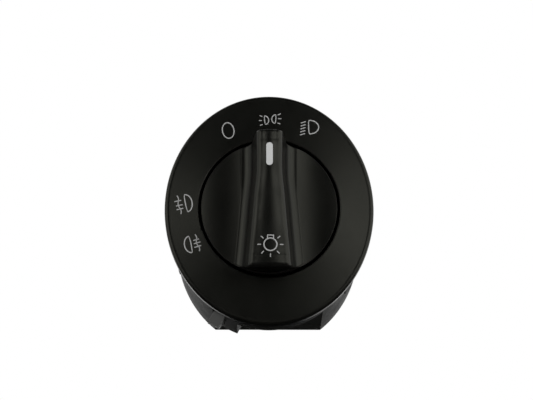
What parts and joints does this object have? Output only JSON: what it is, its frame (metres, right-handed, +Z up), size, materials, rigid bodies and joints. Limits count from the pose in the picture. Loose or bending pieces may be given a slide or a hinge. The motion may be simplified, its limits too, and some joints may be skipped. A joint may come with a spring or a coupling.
{
  "type": "headlight switch",
  "caption": "Round dashboard light switch: oval black bezel, bar-handled turn, pull and push knob, drum housing with latch hooks and a rear blade connector.",
  "frame": {"origin": "on the knob's axis, in the plane where the bezel's back rests on the dash", "axes": "-Y out of the dash toward the driver, along the knob's axis; +Z up in the car; +X to the driver's right"},
  "size_m": [0.074, 0.0855, 0.0836],
  "materials": {
    "bezel_black": "fine spark-eroded black moulding",
    "knob_black": "smooth satin black moulding",
    "housing_grey": "matte dark grey glass-filled moulding",
    "cover_grey": "matte dark grey moulding",
    "latch_plastic": "pale grey acetal",
    "rotor_plastic": "natural acetal",
    "clear_plastic": "clear moulded light pipe",
    "pointer_white": "white translucent moulding",
    "spring_steel": "spring steel",
    "shaft_steel": "drawn steel",
    "screw_steel": "zinc plated steel",
    "contact_brass": "tinned brass",
    "board_laminate": "green glass laminate",
    "lamp_plastic": "moulded lamp body"
  },
  "bodies": {
    "housing": {"bezel": "bezel_black", "symbol_light_guide": "clear_plastic", "front_housing": "housing_grey", "inner_plate": "housing_grey", "inner_plate_screws": "screw_steel", "latch_spring": "spring_steel", "detent_spring": "spring_steel", "contact_tracks": "contact_brass", "circuit_board": "board_laminate", "symbol_lamps": "lamp_plastic", "connector_blades": "contact_brass", "fog_contact_rails": "contact_brass", "rear_cover": "cover_grey", "cover_screws": "screw_steel"},
    "rotor": {"rotor": "rotor_plastic", "rotor_clip": "spring_steel", "contact_wipers": "contact_brass", "pull_clip": "spring_steel", "push_spring": "spring_steel"},
    "knob": {"knob": "knob_black", "pointer_lens": "pointer_white", "knob_light_guide": "clear_plastic", "knob_shaft": "shaft_steel", "shaft_pin": "shaft_steel"},
    "fog_slide": {"fog_slide": "rotor_plastic", "fog_wipers": "contact_brass"},
    "latch_ring": {"latch_ring": "latch_plastic"},
    "latch_hook_lower": {"latch_hook_lower": "latch_plastic"},
    "latch_hook_upper": {"latch_hook_upper": "latch_plastic"}
  },
  "joints": [
    {"name": "knob_turn", "type": "hinge", "parent": "housing", "child": "rotor", "pos_m": [0, 0, 0], "axis": [0, -1, 0], "range_deg": [-30, 30], "deforming": ["detent_spring"]},
    {"name": "knob_pull", "type": "slide", "parent": "rotor", "child": "knob", "axis": [0, -1, 0], "range_m": [-0.0025, 0.007], "deforming": ["push_spring", "pull_clip"]},
    {"name": "fog_slide_travel", "type": "slide", "parent": "housing", "child": "fog_slide", "axis": [0, -1, 0], "range_m": [-0.0025, 0.007]},
    {"name": "latch_turn", "type": "hinge", "parent": "housing", "child": "latch_ring", "pos_m": [0, 0, 0], "axis": [0, -1, 0], "range_deg": [0, 20], "stiffness_Nm_per_rad": 0.03, "springref_deg": -17.19, "deforming": ["latch_spring"]},
    {"name": "hook_lower_slide", "type": "slide", "parent": "housing", "child": "latch_hook_lower", "axis": [0.4695, 0, 0.8829], "range_m": [0, 0.004]},
    {"name": "hook_upper_slide", "type": "slide", "parent": "housing", "child": "latch_hook_upper", "axis": [-0.4695, 0, -0.8829], "range_m": [0, 0.004]}
  ],
  "couplings": [
    {"joint": "fog_slide_travel", "follows": "knob_pull", "ratio": 1},
    {"joint": "latch_turn", "follows": "hook_lower_slide", "rad_per_m": 87.266},
    {"joint": "hook_upper_slide", "follows": "hook_lower_slide", "ratio": 1}
  ]
}
